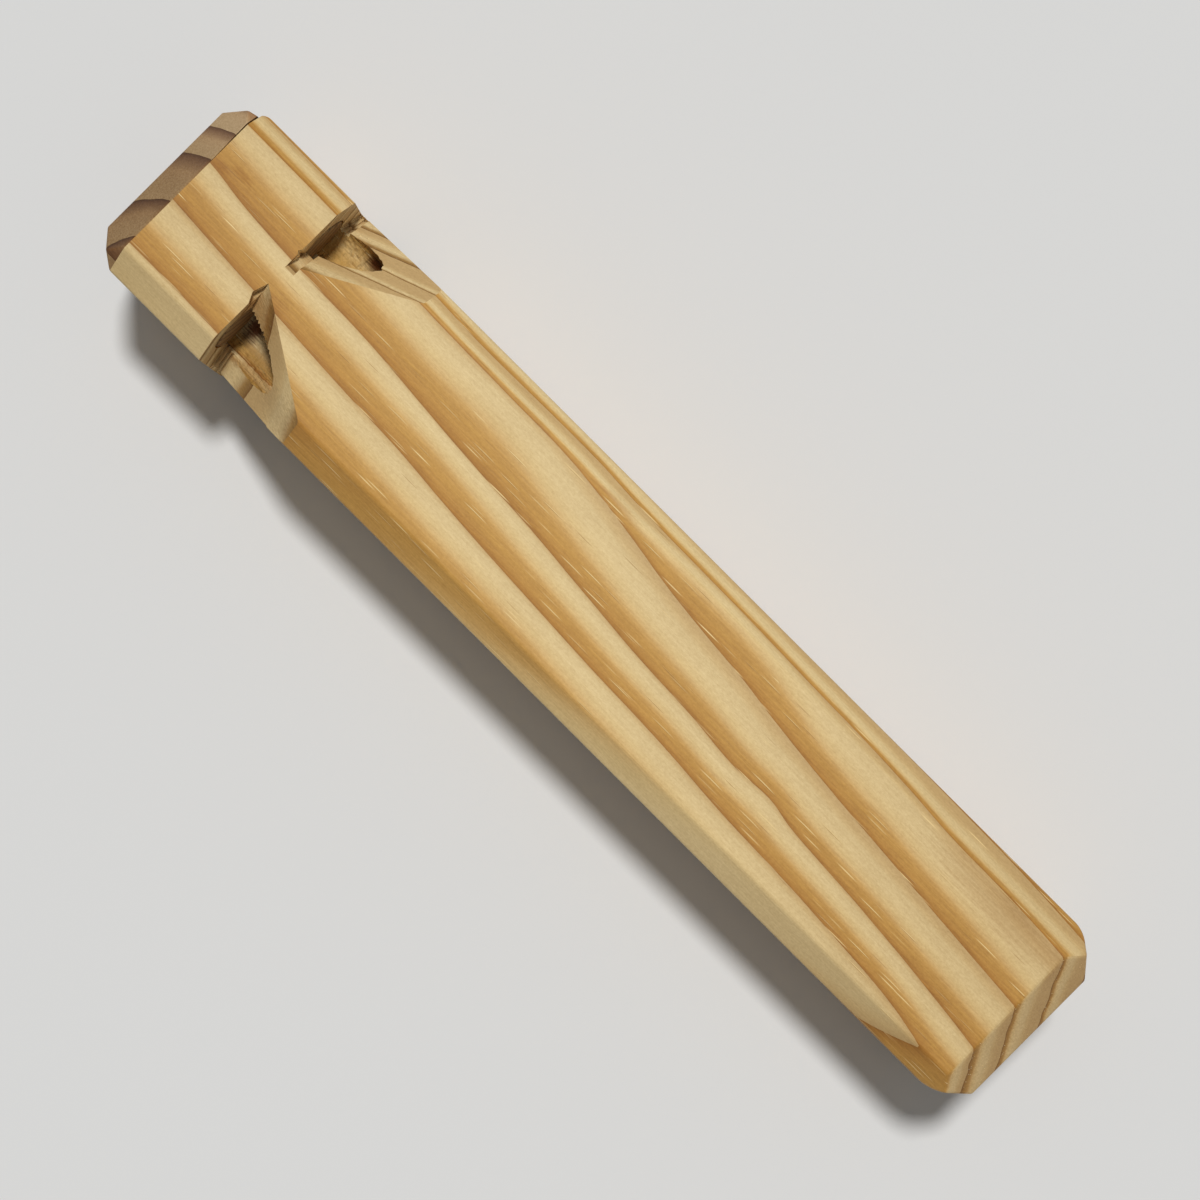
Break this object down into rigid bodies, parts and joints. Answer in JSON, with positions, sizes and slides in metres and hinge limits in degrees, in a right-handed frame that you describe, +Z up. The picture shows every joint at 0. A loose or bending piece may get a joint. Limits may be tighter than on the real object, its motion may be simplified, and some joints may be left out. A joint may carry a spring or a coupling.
{
  "type": "train whistle",
  "caption": "Square pine bar with bevelled ends, chamfered long edges and a slanted sounding window cut across each corner near the mouth end; blown through a hole in the glued mouth cap.",
  "frame": {"origin": "middle of the lower face, on the surface that the bar rests on", "axes": "+X along the bar from the mouth end to the far end, +Z up through the face that the picture shows, +Y to the right when the mouth end is at the top of a view from above"},
  "size_m": [0.1714, 0.031, 0.031],
  "materials": {
    "pine_body": "satin, sanded and clear sealed, broad pale and orange-brown growth rings",
    "pine_end_grain": "sanded end grain, darker and duller than the bar",
    "dowel": "plain turned dowel"
  },
  "bodies": {
    "root": {"whistle_body": "pine_body", "mouth_cap": "pine_end_grain", "fipple_plug_top_left": "dowel", "fipple_plug_top_right": "dowel", "fipple_plug_bottom_left": "dowel", "fipple_plug_bottom_right": "dowel"}
  },
  "joints": []
}
